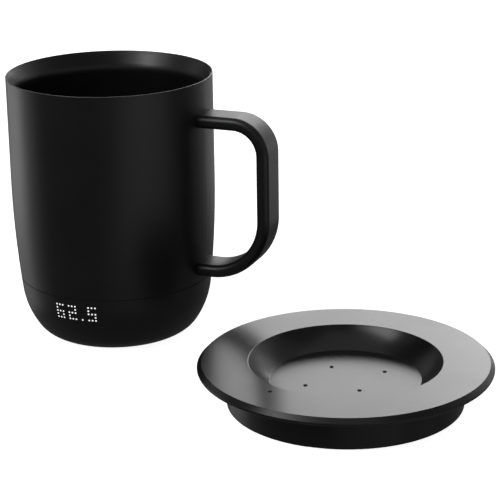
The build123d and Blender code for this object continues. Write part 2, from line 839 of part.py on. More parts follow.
battery_contacts.part.label = "battery_contacts"
export_step(battery_contacts.part, "parts/battery_contacts.step")

# Heater stack under the vessel's floor: aluminium plate, heating film, insulating pad, sensor and leads
film_margin = 0.6
pad_setback = 4.4
sensor_radius = 1.4
sensor_length = 2.8
heater_radius = vessel_outside - vessel_floor_bend - vessel_wall - slide_gap
pad_radius = vessel_outside - pad_setback

with BuildPart() as heater_plate:
    with BuildSketch(Plane.XY.offset(heater_low)):
        Circle(heater_radius)
        Circle(sensor_radius + slide_gap, mode=Mode.SUBTRACT)
    extrude(amount=heater_thickness)

heater_plate.part.label = "heater_plate"
export_step(heater_plate.part, "parts/heater_plate.step")

with BuildPart() as heating_film:
    with BuildSketch(Plane.XY.offset(film_low)):
        Circle(heater_radius - film_margin)
        Circle(sensor_radius + slide_gap, mode=Mode.SUBTRACT)
    extrude(amount=film_thickness)

heating_film.part.label = "heating_film"
export_step(heating_film.part, "parts/heating_film.step")

with BuildPart() as insulation_pad:
    with BuildSketch(Plane.XY.offset(pad_low)):
        Circle(pad_radius)
        Circle(sensor_radius + slide_gap, mode=Mode.SUBTRACT)
        with Locations(*lead_places):
            Circle(lead_radius + slide_gap, mode=Mode.SUBTRACT)
    extrude(amount=pad_thickness)

insulation_pad.part.label = "insulation_pad"
export_step(insulation_pad.part, "parts/insulation_pad.step")

with BuildPart() as temperature_sensor:
    with BuildSketch(Plane.XY.offset(vessel_low)):
        Circle(sensor_radius)
    extrude(amount=-sensor_length)

temperature_sensor.part.label = "temperature_sensor"
export_step(temperature_sensor.part, "parts/temperature_sensor.step")

with BuildPart() as heater_leads:
    with BuildSketch(Plane.XY.offset(board_top)):
        with Locations(*lead_places):
            Circle(lead_radius)
    extrude(amount=film_low - board_top)

heater_leads.part.label = "heater_leads"
export_step(heater_leads.part, "parts/heater_leads.step")

# Coaster, top shell: wide flange around a dish with a flat floor and a hollow slope up to its mouth
coaster_axis = Axis((coaster_x, coaster_y, 0), (0, 0, 1))
coaster_section_plane = Plane((coaster_x, coaster_y, 0), x_dir=(1, 0, 0), z_dir=(0, -1, 0))
dish_gap = 1.3
dish_floor_margin = 4.6
dish_wall_sag = 0.5
dish_wall = 1.6
dish_lip_round = 0.25
dish_floor_fillet = 0.3
flange_bevel = 1.6
flange_under_round = 1.0
flange_low = coaster_height - flange_thickness
dish_under = dish_floor_height - dish_wall
dish_rise = coaster_height - dish_floor_height
dish_floor_radius = foot_form_radius + dish_floor_margin
dish_mouth_radius = form_radius(dish_rise) + dish_gap
boss_radius = 3.0
boss_board_rise = 2.3
boss_azimuth = indicator_azimuth + 225
coaster_screw_radius = 1.2
coaster_screw_reach = 5.5
locating_lip = 1.6
locating_lip_wall = 0.9
coaster_base_low = 0.3
coaster_base_wall = 1.8
coaster_floor = 2.0
coaster_board_gap = 1.2
coaster_board_thickness = 1.2
pin_radius = 0.7
pin_gap = 0.12
barrel_radius = 1.4
barrel_hole_depth = 1.1
light_guide_radius = 0.7
coaster_inside = coaster_base_radius - coaster_base_wall
lip_outside = coaster_base_top_radius - coaster_base_wall - 2 * slide_gap
boss_circle = coaster_inside - boss_radius
coaster_floor_top = coaster_base_low + coaster_floor
coaster_board_low = coaster_floor_top + coaster_board_gap
coaster_board_top = coaster_board_low + coaster_board_thickness
boss_low = coaster_board_top + boss_board_rise
pin_places = [
    polar(outer_pin_radius, pin_azimuth),
    polar(inner_pin_radius, pin_azimuth + 90),
    polar(outer_pin_radius, pin_azimuth + 180),
    polar(inner_pin_radius, pin_azimuth + 270),
]
bowl_section = wall_section(-dish_gap - dish_wall, None, -dish_wall, dish_rise)


def coaster_level(height):
    """Level plane at the coaster's axis."""
    return Plane((coaster_x, coaster_y, height))


with BuildPart() as coaster_top:
    with BuildSketch(coaster_section_plane) as coaster_half:
        with Locations((flange_radius / 2, coaster_height - flange_thickness / 2)):
            Rectangle(flange_radius, flange_thickness)
        chamfer(coaster_half.vertices().group_by(Axis.X)[-1].sort_by(Axis.Y)[-1], flange_bevel)
        fillet(coaster_half.vertices().group_by(Axis.X)[-1].sort_by(Axis.Y)[0], flange_under_round)
        with Locations((0, dish_floor_height)):
            add(bowl_section)
        with BuildLine():
            dish_corner = (dish_floor_radius, dish_floor_height)
            dish_mouth = (dish_mouth_radius, coaster_height)
            dish_middle = (0, dish_floor_height)
            SagittaArc(dish_corner, dish_mouth, -dish_wall_sag)
            Polyline(dish_mouth, (dish_mouth_radius, mug_height), (0, mug_height), dish_middle, dish_corner)
        make_face(mode=Mode.SUBTRACT)
        with Locations((lip_outside - locating_lip_wall / 2, flange_low - locating_lip / 2)):
            Rectangle(locating_lip_wall, locating_lip)
    revolve(axis=coaster_axis)
    floor_heights = (dish_floor_height - screw_gap, dish_floor_height + screw_gap)
    fillet(coaster_top.edges().filter_by_position(Axis.Z, *floor_heights), dish_floor_fillet)
    lip_heights = (coaster_height - screw_gap, coaster_height + screw_gap)
    lip_edges = coaster_top.edges().filter_by_position(Axis.Z, *lip_heights)
    fillet(lip_edges.sort_by(SortBy.RADIUS)[0], dish_lip_round)
    with BuildSketch(coaster_level(boss_low)):
        with PolarLocations(boss_circle, 4, boss_azimuth):
            Circle(boss_radius)
    extrude(amount=flange_low - boss_low)
    with BuildSketch(coaster_level(boss_low)):
        with PolarLocations(boss_circle, 4, boss_azimuth):
            Circle(coaster_screw_radius + screw_gap)
    extrude(amount=coaster_screw_reach + screw_gap, mode=Mode.SUBTRACT)
    with BuildSketch(coaster_level(dish_under)):
        with Locations(*pin_places):
            Circle(barrel_radius + slide_gap)
    extrude(amount=barrel_hole_depth, mode=Mode.SUBTRACT)
    with BuildSketch(coaster_level(dish_under)):
        with Locations(*pin_places):
            Circle(pin_radius + pin_gap)
    extrude(amount=2 * dish_wall, mode=Mode.SUBTRACT)
    with BuildSketch(coaster_level(flange_low)):
        with Locations(polar(indicator_radius, indicator_azimuth)):
            Circle(light_guide_radius + screw_gap)
    extrude(amount=flange_thickness, mode=Mode.SUBTRACT)

coaster_top.part.label = "coaster_top"
export_step(coaster_top.part, "parts/coaster_top.step")

# Coaster, base shell: shallow cup with screw posts, board posts and the opening for the power socket
coaster_shadow_gap = 0.25
coaster_base_round = 0.6
base_post_radius = 3.4
coaster_foot_setback = 1.5
coaster_foot_width = 7.0
coaster_foot_height = 0.9
coaster_screw_head_radius = 2.2
coaster_screw_head = 1.5
board_post_radius = 2.2
board_post_inset = 8.2
board_screw_radius = 0.9
board_screw_depth = 1.9
socket_azimuth = indicator_azimuth + 180
socket_shell_width = 8.94
socket_shell_height = 3.2
socket_shell_length = 7.3
socket_shell_wall = 0.35
socket_opening_gap = 0.3
socket_setback = 1.0
coaster_foot_outside = coaster_base_radius - coaster_foot_setback
coaster_foot_inside = coaster_foot_outside - coaster_foot_width
board_post_circle = boss_circle - board_post_inset
coaster_head_top = coaster_foot_height + coaster_screw_head
socket_height = coaster_board_top + socket_shell_height / 2
coaster_base_top = flange_low - coaster_shadow_gap
board_post_azimuth = socket_azimuth + 60


def socket_plane(radius):
    """Upright plane across the power socket, at a distance from the coaster's axis, facing outward."""
    x, y = polar(radius, socket_azimuth)
    out_x, out_y = polar(1, socket_azimuth)
    middle = (coaster_x + x, coaster_y + y, socket_height)
    return Plane(middle, x_dir=(-out_y, out_x, 0), z_dir=(out_x, out_y, 0))


with BuildPart() as coaster_base:
    with BuildSketch(coaster_section_plane):
        with BuildLine():
            Polyline(
                (0, coaster_base_low),
                (coaster_base_radius, coaster_base_low),
                (coaster_base_top_radius, coaster_base_top),
                (coaster_base_top_radius - coaster_base_wall, coaster_base_top),
                (coaster_inside, coaster_floor_top),
                (0, coaster_floor_top),
                close=True,
            )
        make_face()
    revolve(axis=coaster_axis)
    fillet(coaster_base.edges().group_by(Axis.Z)[0], coaster_base_round)
    with BuildSketch(coaster_level(coaster_floor_top)):
        with PolarLocations(boss_circle, 4, boss_azimuth):
            Circle(base_post_radius)
    extrude(amount=boss_low - coaster_floor_top)
    with BuildSketch(coaster_level(coaster_floor_top)):
        with PolarLocations(board_post_circle, 3, board_post_azimuth):
            Circle(board_post_radius)
    extrude(amount=coaster_board_gap)
    with BuildSketch(coaster_level(coaster_board_low)):
        with PolarLocations(board_post_circle, 3, board_post_azimuth):
            Circle(board_screw_radius + screw_gap)
    extrude(amount=-board_screw_depth - screw_gap, mode=Mode.SUBTRACT)
    with BuildSketch(coaster_level(coaster_base_low)):
        Circle(coaster_foot_outside + slide_gap)
        Circle(coaster_foot_inside - slide_gap, mode=Mode.SUBTRACT)
    extrude(amount=coaster_foot_height - coaster_base_low, mode=Mode.SUBTRACT)
    with BuildSketch(coaster_level(coaster_foot_height)):
        with PolarLocations(boss_circle, 4, boss_azimuth):
            Circle(coaster_screw_head_radius + slide_gap)
    extrude(amount=coaster_screw_head, mode=Mode.SUBTRACT)
    with BuildSketch(coaster_level(coaster_foot_height)):
        with PolarLocations(boss_circle, 4, boss_azimuth):
            Circle(coaster_screw_radius + slide_gap)
    extrude(amount=boss_low - coaster_foot_height, mode=Mode.SUBTRACT)
    with BuildSketch(socket_plane(coaster_inside - overrun)):
        SlotOverall(socket_shell_width + 2 * socket_opening_gap, socket_shell_height + 2 * socket_opening_gap)
    extrude(amount=coaster_base_wall + 2 * overrun, mode=Mode.SUBTRACT)

coaster_base.part.label = "coaster_base"
export_step(coaster_base.part, "parts/coaster_base.step")

with BuildPart() as coaster_foot:
    with BuildSketch(coaster_level(0)):
        Circle(coaster_foot_outside)
        Circle(coaster_foot_inside, mode=Mode.SUBTRACT)
    extrude(amount=coaster_foot_height)

coaster_foot.part.label = "coaster_foot"
export_step(coaster_foot.part, "parts/coaster_foot.step")

with BuildPart() as coaster_screws:
    with BuildSketch(coaster_level(coaster_foot_height)):
        with PolarLocations(boss_circle, 4, boss_azimuth):
            Circle(coaster_screw_head_radius)
    extrude(amount=coaster_screw_head)
    with BuildSketch(coaster_level(coaster_head_top)):
        with PolarLocations(boss_circle, 4, boss_azimuth):
            Circle(coaster_screw_radius)
    extrude(amount=boss_low + coaster_screw_reach - coaster_head_top)
    with BuildSketch(coaster_level(coaster_foot_height)):
        with PolarLocations(boss_circle, 4, boss_azimuth):
            RegularPolygon(coaster_screw_radius, 6)
    extrude(amount=socket_depth, mode=Mode.SUBTRACT)

coaster_screws.part.label = "coaster_screws"
export_step(coaster_screws.part, "parts/coaster_screws.step")

# Coaster board: round, notched around the screw posts
coaster_board_edge_gap = 0.7
post_notch_gap = 0.5
coaster_board_radius = coaster_inside - coaster_board_edge_gap
with BuildPart() as coaster_board:
    with BuildSketch(coaster_level(coaster_board_low)):
        Circle(coaster_board_radius)
        with PolarLocations(boss_circle, 4, boss_azimuth):
            Circle(base_post_radius + post_notch_gap, mode=Mode.SUBTRACT)
        with PolarLocations(board_post_circle, 3, board_post_azimuth):
            Circle(board_screw_radius + slide_gap, mode=Mode.SUBTRACT)
    extrude(amount=coaster_board_thickness)

coaster_board.part.label = "coaster_board"
export_step(coaster_board.part, "parts/coaster_board.step")

board_screw_head_radius = 1.8
with BuildPart() as coaster_board_screws:
    with BuildSketch(coaster_level(coaster_board_top)):
        with PolarLocations(board_post_circle, 3, board_post_azimuth):
            Circle(board_screw_head_radius)
    extrude(amount=chip_height)
    with BuildSketch(coaster_level(coaster_board_low - board_screw_depth)):
        with PolarLocations(board_post_circle, 3, board_post_azimuth):
            Circle(board_screw_radius)
    extrude(amount=coaster_board_thickness + board_screw_depth)
    with BuildSketch(coaster_level(coaster_board_top + chip_height)):
        with PolarLocations(board_post_circle, 3, board_post_azimuth):
            RegularPolygon(board_screw_radius, 6)
    extrude(amount=-socket_depth, mode=Mode.SUBTRACT)

coaster_board_screws.part.label = "coaster_board_screws"
export_step(coaster_board_screws.part, "parts/coaster_board_screws.step")

# Parts on the coaster's board: charge controller, power coil and two capacitors
controller_side = 5.0
power_coil_side = 7.0
power_coil_height = 2.2
capacitor_side = 2.5
capacitor_height = 1.4
controller_share = (0.02, 0.02)
power_coil_share = (0.52, 0.50)
capacitor_shares = ((0.30, 0.66), (0.62, 0.22))

with BuildPart() as coaster_board_parts:
    with BuildSketch(coaster_level(coaster_board_top)):
        with Locations(*shared_places(coaster_board_radius, [controller_share])):
            Rectangle(controller_side, controller_side)
    extrude(amount=chip_height)
    with BuildSketch(coaster_level(coaster_board_top)):
        with Locations(*shared_places(coaster_board_radius, [power_coil_share])):
            RectangleRounded(power_coil_side, power_coil_side, coil_round)
    extrude(amount=power_coil_height)
    with BuildSketch(coaster_level(coaster_board_top)):
        with Locations(*shared_places(coaster_board_radius, capacitor_shares)):
            Rectangle(capacitor_side, capacitor_side)
    extrude(amount=capacitor_height)

coaster_board_parts.part.label = "coaster_board_parts"
export_step(coaster_board_parts.part, "parts/coaster_board_parts.step")

# Power socket: metal shell, open to the outside, with its contact tongue on an insulating block
tongue_width = 6.7
tongue_thickness = 0.7
tongue_setback = 0.8
socket_block = 1.6
socket_back_wall = 0.4
socket_front = coaster_base_radius - socket_setback
socket_back = socket_front - socket_shell_length
socket_inner_width = socket_shell_width - 2 * socket_shell_wall
socket_inner_height = socket_shell_height - 2 * socket_shell_wall

with BuildPart() as power_socket:
    with BuildSketch(socket_plane(socket_back)):
        RectangleRounded(socket_shell_width, socket_shell_height, socket_inner_height / 2)
    extrude(amount=socket_shell_length)
    with BuildSketch(socket_plane(socket_back + socket_back_wall)):
        SlotOverall(socket_inner_width, socket_inner_height)
    extrude(amount=socket_shell_length, mode=Mode.SUBTRACT)

power_socket.part.label = "power_socket"
export_step(power_socket.part, "parts/power_socket.step")

with BuildPart() as power_socket_tongue:
    with BuildSketch(socket_plane(socket_back + socket_back_wall)):
        SlotOverall(socket_inner_width, socket_inner_height)
    extrude(amount=socket_block)
    with BuildSketch(socket_plane(socket_back + socket_back_wall + socket_block)):
        Rectangle(tongue_width, tongue_thickness)
    extrude(amount=socket_shell_length - socket_back_wall - socket_block - tongue_setback)

power_socket_tongue.part.label = "power_socket_tongue"
export_step(power_socket_tongue.part, "parts/power_socket_tongue.step")

# Sprung contact pins: barrels on the board, each with a helical spring and a plunger that shows in the dish
barrel_bore_radius = 1.2
barrel_floor = 0.25
crimp_height = 0.35
crimp_gap = 0.06
pin_rise = 0.25
pin_tip_round = 0.15
collar_radius = 1.14
collar_height = 0.75
collar_drop = 0.05
spring_radius = 0.92
spring_wire_radius = 0.1
spring_turns = 5
barrel_top = dish_under + barrel_hole_depth - slide_gap
crimp_low = barrel_top - crimp_height
collar_top = crimp_low - collar_drop
collar_low = collar_top - collar_height
spring_low = coaster_board_top + barrel_floor
spring_height = collar_low - spring_low
coil_height = spring_height - 2 * spring_wire_radius

with BuildPart() as pin_barrels:
    with BuildSketch(coaster_level(coaster_board_top)):
        with Locations(*pin_places):
            Circle(barrel_radius)
    extrude(amount=barrel_top - coaster_board_top)
    with BuildSketch(coaster_level(spring_low)):
        with Locations(*pin_places):
            Circle(barrel_bore_radius)
    extrude(amount=crimp_low - spring_low, mode=Mode.SUBTRACT)
    with BuildSketch(coaster_level(crimp_low)):
        with Locations(*pin_places):
            Circle(pin_radius + crimp_gap)
    extrude(amount=crimp_height, mode=Mode.SUBTRACT)

pin_barrels.part.label = "pin_barrels"
export_step(pin_barrels.part, "parts/pin_barrels.step")

for index, place in enumerate(pin_places):
    pin_x = coaster_x + place[0]
    pin_y = coaster_y + place[1]
    with BuildPart() as contact_pin:
        with BuildSketch(Plane((pin_x, pin_y, collar_low))):
            Circle(pin_radius)
        extrude(amount=dish_floor_height + pin_rise - collar_low)
        fillet(contact_pin.edges().group_by(Axis.Z)[-1], pin_tip_round)
        with BuildSketch(Plane((pin_x, pin_y, collar_low))):
            Circle(collar_radius)
        extrude(amount=collar_height)
    contact_pin.part.label = f"contact_pin_{index + 1}"
    export_step(contact_pin.part, f"parts/contact_pin_{index + 1}.step")

    with BuildPart() as pin_spring:
        with BuildLine(Plane((pin_x, pin_y, spring_low + spring_wire_radius))) as coil:
            Helix(coil_height / spring_turns, coil_height, spring_radius)
        with BuildSketch(Plane(coil.line @ 0, z_dir=coil.line % 0)):
            Circle(spring_wire_radius)
        sweep(path=coil.line, is_frenet=True)
    pin_spring.part.label = f"pin_spring_{index + 1}"
    export_step(pin_spring.part, f"parts/pin_spring_{index + 1}.step")

# Charge indicator: small lamp on the board and a clear guide that ends just under the flange's face
indicator_lamp_side = 1.6
indicator_lamp_height = 0.8
guide_gap = 0.3
guide_inset = 0.3

with BuildPart() as indicator_lamp:
    with BuildSketch(coaster_level(coaster_board_top)):
        with Locations(polar(indicator_radius, indicator_azimuth)):
            Rectangle(indicator_lamp_side, indicator_lamp_side)
    extrude(amount=indicator_lamp_height)

indicator_lamp.part.label = "indicator_lamp"
export_step(indicator_lamp.part, "parts/indicator_lamp.step")

guide_low = coaster_board_top + indicator_lamp_height + guide_gap
with BuildPart() as indicator_guide:
    with BuildSketch(coaster_level(guide_low)):
        with Locations(polar(indicator_radius, indicator_azimuth)):
            Circle(light_guide_radius)
    extrude(amount=coaster_height - guide_inset - guide_low)

indicator_guide.part.label = "indicator_guide"
export_step(indicator_guide.part, "parts/indicator_guide.step")
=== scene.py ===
import math

import bpy
from mathutils import Matrix, Vector


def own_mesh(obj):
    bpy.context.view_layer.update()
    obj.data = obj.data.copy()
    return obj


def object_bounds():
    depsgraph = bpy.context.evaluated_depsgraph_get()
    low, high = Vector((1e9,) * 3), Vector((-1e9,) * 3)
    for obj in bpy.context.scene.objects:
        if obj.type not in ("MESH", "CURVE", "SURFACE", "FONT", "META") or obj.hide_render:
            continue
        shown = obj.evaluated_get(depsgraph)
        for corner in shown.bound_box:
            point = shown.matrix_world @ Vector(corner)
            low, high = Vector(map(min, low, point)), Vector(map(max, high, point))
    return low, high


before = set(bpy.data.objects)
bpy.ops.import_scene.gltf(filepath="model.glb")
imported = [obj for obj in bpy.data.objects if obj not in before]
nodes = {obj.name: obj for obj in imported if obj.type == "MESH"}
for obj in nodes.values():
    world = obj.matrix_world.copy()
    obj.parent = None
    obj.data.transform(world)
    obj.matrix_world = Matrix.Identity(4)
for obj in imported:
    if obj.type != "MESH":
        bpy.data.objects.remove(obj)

cadLow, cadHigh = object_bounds()
scene = bpy.context.scene
print("frame: loaded", len(nodes), "nodes")


# Camera: the photographed angle, metres and degrees
view = {
    "location": (0.3067, -0.6230, 0.2644),
    "heading": 21.8,  # turned to the left of +Y
    "downTilt": 18.626,
    "roll": -0.8645,
    "lens": 131.67,  # millimetres, as the sensor is
    "sensor": 36.0,
    "nearest": 0.05,
    "farthest": 30.0,
}


def turned(degrees, axis):
    return Matrix.Rotation(math.radians(degrees), 4, axis)


def makeCamera():
    data = bpy.data.cameras.new("studioCamera")
    data.lens = view["lens"]
    data.sensor_width = view["sensor"]
    data.clip_start = view["nearest"]
    data.clip_end = view["farthest"]
    camera = bpy.data.objects.new("studioCamera", data)
    camera.matrix_world = (
        Matrix.Translation(view["location"])
        @ turned(view["heading"], "Z")
        @ turned(90 - view["downTilt"], "X")
        @ turned(view["roll"], "Z")
    )
    scene.collection.objects.link(camera)
    scene.camera = camera


makeCamera()
print("camera: placed")


# Small helpers for node trees
def link(tree, source, target):
    tree.links.new(source, target)


def addNode(tree, kind, place, **values):
    node = tree.nodes.new("ShaderNode" + kind)
    node.location = place
    for key, value in values.items():
        setattr(node, key, value)
    return node


def newGroup(name, inputs, outputs):
    group = bpy.data.node_groups.new(name, "ShaderNodeTree")
    for label, kind, value in inputs:
        kind = "NodeSocket" + kind
        socket = group.interface.new_socket(name=label, in_out="INPUT", socket_type=kind)
        if value is not None:
            socket.default_value = value
    for label, kind in outputs:
        kind = "NodeSocket" + kind
        group.interface.new_socket(name=label, in_out="OUTPUT", socket_type=kind)
    start = group.nodes.new("NodeGroupInput")
    start.location = (-700, 0)
    end = group.nodes.new("NodeGroupOutput")
    end.location = (500, 0)
    return group, start, end


def rangeNode(tree, place, low, high, newLow=0.0, newHigh=1.0):
    node = addNode(tree, "MapRange", place)
    node.inputs["From Min"].default_value = low
    node.inputs["From Max"].default_value = high
    node.inputs["To Min"].default_value = newLow
    node.inputs["To Max"].default_value = newHigh
    return node


def mathNode(tree, place, operation, value=0.0):
    node = addNode(tree, "Math", place, operation=operation)
    node.inputs[1].default_value = value
    return node


def noiseNode(tree, place, detail):
    node = addNode(tree, "TexNoise", place)
    node.inputs["Detail"].default_value = detail
    return node


# Studio: soft panels in rings round a small table, the last two rings below its top. A bearing of
# 0 is straight behind the object as the camera sees it, 90 is to its right. Metres and degrees
studio = {
    "centre": (0.055, -0.02, 0.05),
    "distance": 1.5,
    "ambient": 0.093,
    "power": 11.3,  # watts for each square metre of a panel at brightness 1
    "rings": {
        # each panel's elevation, height and width, and the panels' brightness by bearing
        "overhead": (90, 56, 56, {0: 0.08}),
        "upper": (47.5, 15, 20, {210: 0.5, 230: 1.04, 250: 1.04}),
        "key": (32.5, 15, 20, {210: 0.03, 230: 1.23, 250: 0.29}),
        "wide": (45, 30, 60, {60: 0.04}),
        "narrow": (20, 20, 10, {355: 0.47, 5: 0.86}),
        "raised": (20, 20, 20, {
            20: 1.1, 40: 0.25, 60: 0.12, 80: 0.05, 100: 0.05, 120: 0.05, 140: 0.05, 160: 0.05,
            180: 0.05, 200: 0.05, 220: 0.05, 240: 0.05, 260: 0.05, 280: 0.05, 300: 0.09,
            320: 0.05, 340: 0.05,
        }),
        "level": (2, 16, 20, {20: 0.5, 40: 0.1, 60: 0.29, 120: 0.04, 140: 0.02}),
        "lowered": (-12, 12, 20, {
            20: 0.08, 40: 0.13, 60: 0.02, 120: 0.12, 140: 0.18, 160: 0.13, 280: 0.14, 300: 0.44,
            320: 0.2,
        }),
        "footlight": (-24, 12, 20, {
            100: 0.02, 120: 0.02, 140: 0.06, 160: 0.06, 180: 0.05, 280: 0.04, 300: 0.15, 320: 0.08,
        }),
    },
}


def makePanel(name, bearing, elevation, width, height, watts):
    turn = math.radians(90 + view["heading"] - bearing)
    rise = math.radians(elevation)
    level = math.cos(rise)
    away = Vector((math.cos(turn) * level, math.sin(turn) * level, math.sin(rise)))
    data = bpy.data.lights.new(name, "AREA")
    data.shape = "RECTANGLE"
    data.size = width
    data.size_y = height
    data.energy = watts
    panel = bpy.data.objects.new(name, data)
    spot = Vector(studio["centre"]) + away * studio["distance"]
    facing = away.to_track_quat("Z", "Y").to_matrix().to_4x4()
    panel.matrix_world = Matrix.Translation(spot) @ facing
    panel.visible_camera = False
    scene.collection.objects.link(panel)


def makeLights():
    for ring, (elevation, span, spread, panels) in studio["rings"].items():
        # panels side by side just touch, and the one overhead keeps its width
        across = 2 * studio["distance"]
        height = across * math.tan(math.radians(span / 2))
        if elevation < 90:
            across *= math.cos(math.radians(elevation))
        width = across * math.tan(math.radians(spread / 2))
        for bearing, brightness in panels.items():
            watts = brightness * studio["power"] * width * height
            makePanel(f"{ring}Panel.{bearing:03d}", bearing, elevation, width, height, watts)


def makeWorld():
    world = bpy.data.worlds.new("paleRoom")
    world.use_nodes = True
    tree = world.node_tree
    tree.nodes.clear()
    path = addNode(tree, "LightPath", (-400, 300))
    white = addNode(tree, "Background", (-400, -150))
    white.inputs["Color"].default_value = (1, 1, 1, 1)
    dim = addNode(tree, "Background", (-400, 0))
    dim.inputs["Color"].default_value = (1, 1, 1, 1)
    dim.inputs["Strength"].default_value = studio["ambient"]
    mix = addNode(tree, "MixShader", (-150, 0))
    end = addNode(tree, "OutputWorld", (50, 0))
    link(tree, path.outputs["Is Camera Ray"], mix.inputs[0])
    link(tree, dim.outputs[0], mix.inputs[1])
    link(tree, white.outputs[0], mix.inputs[2])
    link(tree, mix.outputs[0], end.inputs["Surface"])
    scene.world = world


makeLights()
makeWorld()
scene.view_settings.view_transform = "Standard"
print("studio: lights and room made")


# Coat grain: the fine pebble of a sprayed or moulded surface, and slow clouds over it
grainShape = {
    "pebbleDetail": 3.0,
    "pebbleRoughness": 0.55,
    "cellSoftness": 0.6,
    "cellShare": 0.6,  # how much the cells add to the pebble's height
    "cloudDetail": 4.0,
    "cloudRange": (0.3, 0.7),
}


def makeCoatGrain():
    group, start, end = newGroup(
        "coatGrain",
        [("Vector", "Vector", None), ("Grains", "Float", 5000.0), ("Clouds", "Float", 40.0)],
        [("Height", "Float"), ("Cloud", "Float")],
    )
    pebble = noiseNode(group, (-400, 200), grainShape["pebbleDetail"])
    pebble.inputs["Roughness"].default_value = grainShape["pebbleRoughness"]
    cells = addNode(group, "TexVoronoi", (-400, -60), feature="SMOOTH_F1")
    cells.inputs["Smoothness"].default_value = grainShape["cellSoftness"]
    cloud = noiseNode(group, (-400, -330), grainShape["cloudDetail"])
    spread = rangeNode(group, (-150, -330), *grainShape["cloudRange"])
    both = mathNode(group, (-100, 100), "MULTIPLY_ADD", grainShape["cellShare"])
    link(group, start.outputs["Vector"], pebble.inputs["Vector"])
    link(group, start.outputs["Vector"], cells.inputs["Vector"])
    link(group, start.outputs["Vector"], cloud.inputs["Vector"])
    link(group, start.outputs["Grains"], pebble.inputs["Scale"])
    link(group, start.outputs["Grains"], cells.inputs["Scale"])
    link(group, start.outputs["Clouds"], cloud.inputs["Scale"])
    link(group, cells.outputs["Distance"], both.inputs[0])
    link(group, pebble.outputs["Fac"], both.inputs[2])
    link(group, cloud.outputs["Fac"], spread.inputs["Value"])
    link(group, both.outputs[0], end.inputs["Height"])
    link(group, spread.outputs["Result"], end.inputs["Cloud"])
    return group


# Edge wear and painted sheen: a mask where a corner turns within the given width, broken up by a
# little noise; the coats mix a lighter colour in there, partly wear and partly a painted highlight
# along the edges
wearAndSheenShape = {
    "rays": 4,
    "turnRange": (0.995, 0.86),  # cosine between the true face and the rounded one
    "breakDetail": 5.0,
    "breakRange": (0.42, 0.62),
}


def makeEdgeWearAndSheen():
    group, start, end = newGroup(
        "edgeWearAndSheen",
        [("Vector", "Vector", None), ("Width", "Float", 0.0006), ("Breaks", "Float", 900.0)],
        [("Mask", "Float")],
    )
    bevel = addNode(group, "Bevel", (-500, 200), samples=wearAndSheenShape["rays"])
    geometry = addNode(group, "NewGeometry", (-500, 0))
    dot = addNode(group, "VectorMath", (-300, 120), operation="DOT_PRODUCT")
    turn = rangeNode(group, (-100, 120), *wearAndSheenShape["turnRange"])
    noise = noiseNode(group, (-300, -200), wearAndSheenShape["breakDetail"])
    broken = rangeNode(group, (-100, -200), *wearAndSheenShape["breakRange"])
    both = mathNode(group, (150, 0), "MULTIPLY")
    link(group, start.outputs["Width"], bevel.inputs["Radius"])
    link(group, start.outputs["Vector"], noise.inputs["Vector"])
    link(group, start.outputs["Breaks"], noise.inputs["Scale"])
    link(group, bevel.outputs["Normal"], dot.inputs[0])
    link(group, geometry.outputs["Normal"], dot.inputs[1])
    link(group, dot.outputs["Value"], turn.inputs["Value"])
    link(group, noise.outputs["Fac"], broken.inputs["Value"])
    link(group, turn.outputs["Result"], both.inputs[0])
    link(group, broken.outputs["Result"], both.inputs[1])
    link(group, both.outputs[0], end.inputs["Mask"])
    return group


# Dust: settles in faint specks on what faces upward
dustShape = {
    "upRange": (0.4, 1.0),
    "speckDetail": 6.0,
    "speckRange": (0.56, 0.7),
    "colour": (0.30, 0.29, 0.27),
    "dulls": 0.5,  # what full dust adds to a coat's roughness
}


def makeDust():
    group, start, end = newGroup(
        "settledDust",
        [("Vector", "Vector", None), ("Specks", "Float", 2500.0), ("Amount", "Float", 0.1)],
        [("Mask", "Float")],
    )
    geometry = addNode(group, "NewGeometry", (-500, 200))
    split = addNode(group, "SeparateXYZ", (-300, 200))
    up = rangeNode(group, (-100, 200), *dustShape["upRange"])
    specks = noiseNode(group, (-300, -50), dustShape["speckDetail"])
    sparse = rangeNode(group, (-100, -50), *dustShape["speckRange"])
    facing = mathNode(group, (120, 60), "MULTIPLY")
    amount = mathNode(group, (300, 60), "MULTIPLY")
    link(group, geometry.outputs["Normal"], split.inputs[0])
    link(group, split.outputs["Z"], up.inputs["Value"])
    link(group, start.outputs["Vector"], specks.inputs["Vector"])
    link(group, start.outputs["Specks"], specks.inputs["Scale"])
    link(group, specks.outputs["Fac"], sparse.inputs["Value"])
    link(group, up.outputs["Result"], facing.inputs[0])
    link(group, sparse.outputs["Result"], facing.inputs[1])
    link(group, facing.outputs[0], amount.inputs[0])
    link(group, start.outputs["Amount"], amount.inputs[1])
    link(group, amount.outputs[0], end.inputs["Mask"])
    return group


# Drawn lines: the fine lines left by rolling, drawing or brushing a metal, long in one direction
lineShape = {"detail": 4.0, "strongRange": (0.35, 0.65)}


def makeDrawnLines():
    group, start, end = newGroup(
        "drawnLines",
        [
            ("Vector", "Vector", None),
            ("Stretch", "Vector", (1.0, 0.03, 1.0)),
            ("Lines", "Float", 4000.0),
        ],
        [("Height", "Float"), ("Mask", "Float")],
    )
    pull = addNode(group, "VectorMath", (-450, 0), operation="MULTIPLY")
    noise = noiseNode(group, (-250, 0), lineShape["detail"])
    strong = rangeNode(group, (0, -120), *lineShape["strongRange"])
    link(group, start.outputs["Vector"], pull.inputs[0])
    link(group, start.outputs["Stretch"], pull.inputs[1])
    link(group, pull.outputs[0], noise.inputs["Vector"])
    link(group, start.outputs["Lines"], noise.inputs["Scale"])
    link(group, noise.outputs["Fac"], strong.inputs["Value"])
    link(group, noise.outputs["Fac"], end.inputs["Height"])
    link(group, strong.outputs["Result"], end.inputs["Mask"])
    return group


coatGrain = makeCoatGrain()
edgeWearAndSheen = makeEdgeWearAndSheen()
settledDust = makeDust()
drawnLines = makeDrawnLines()
print("groups: grain, wear, dust and drawn lines made")


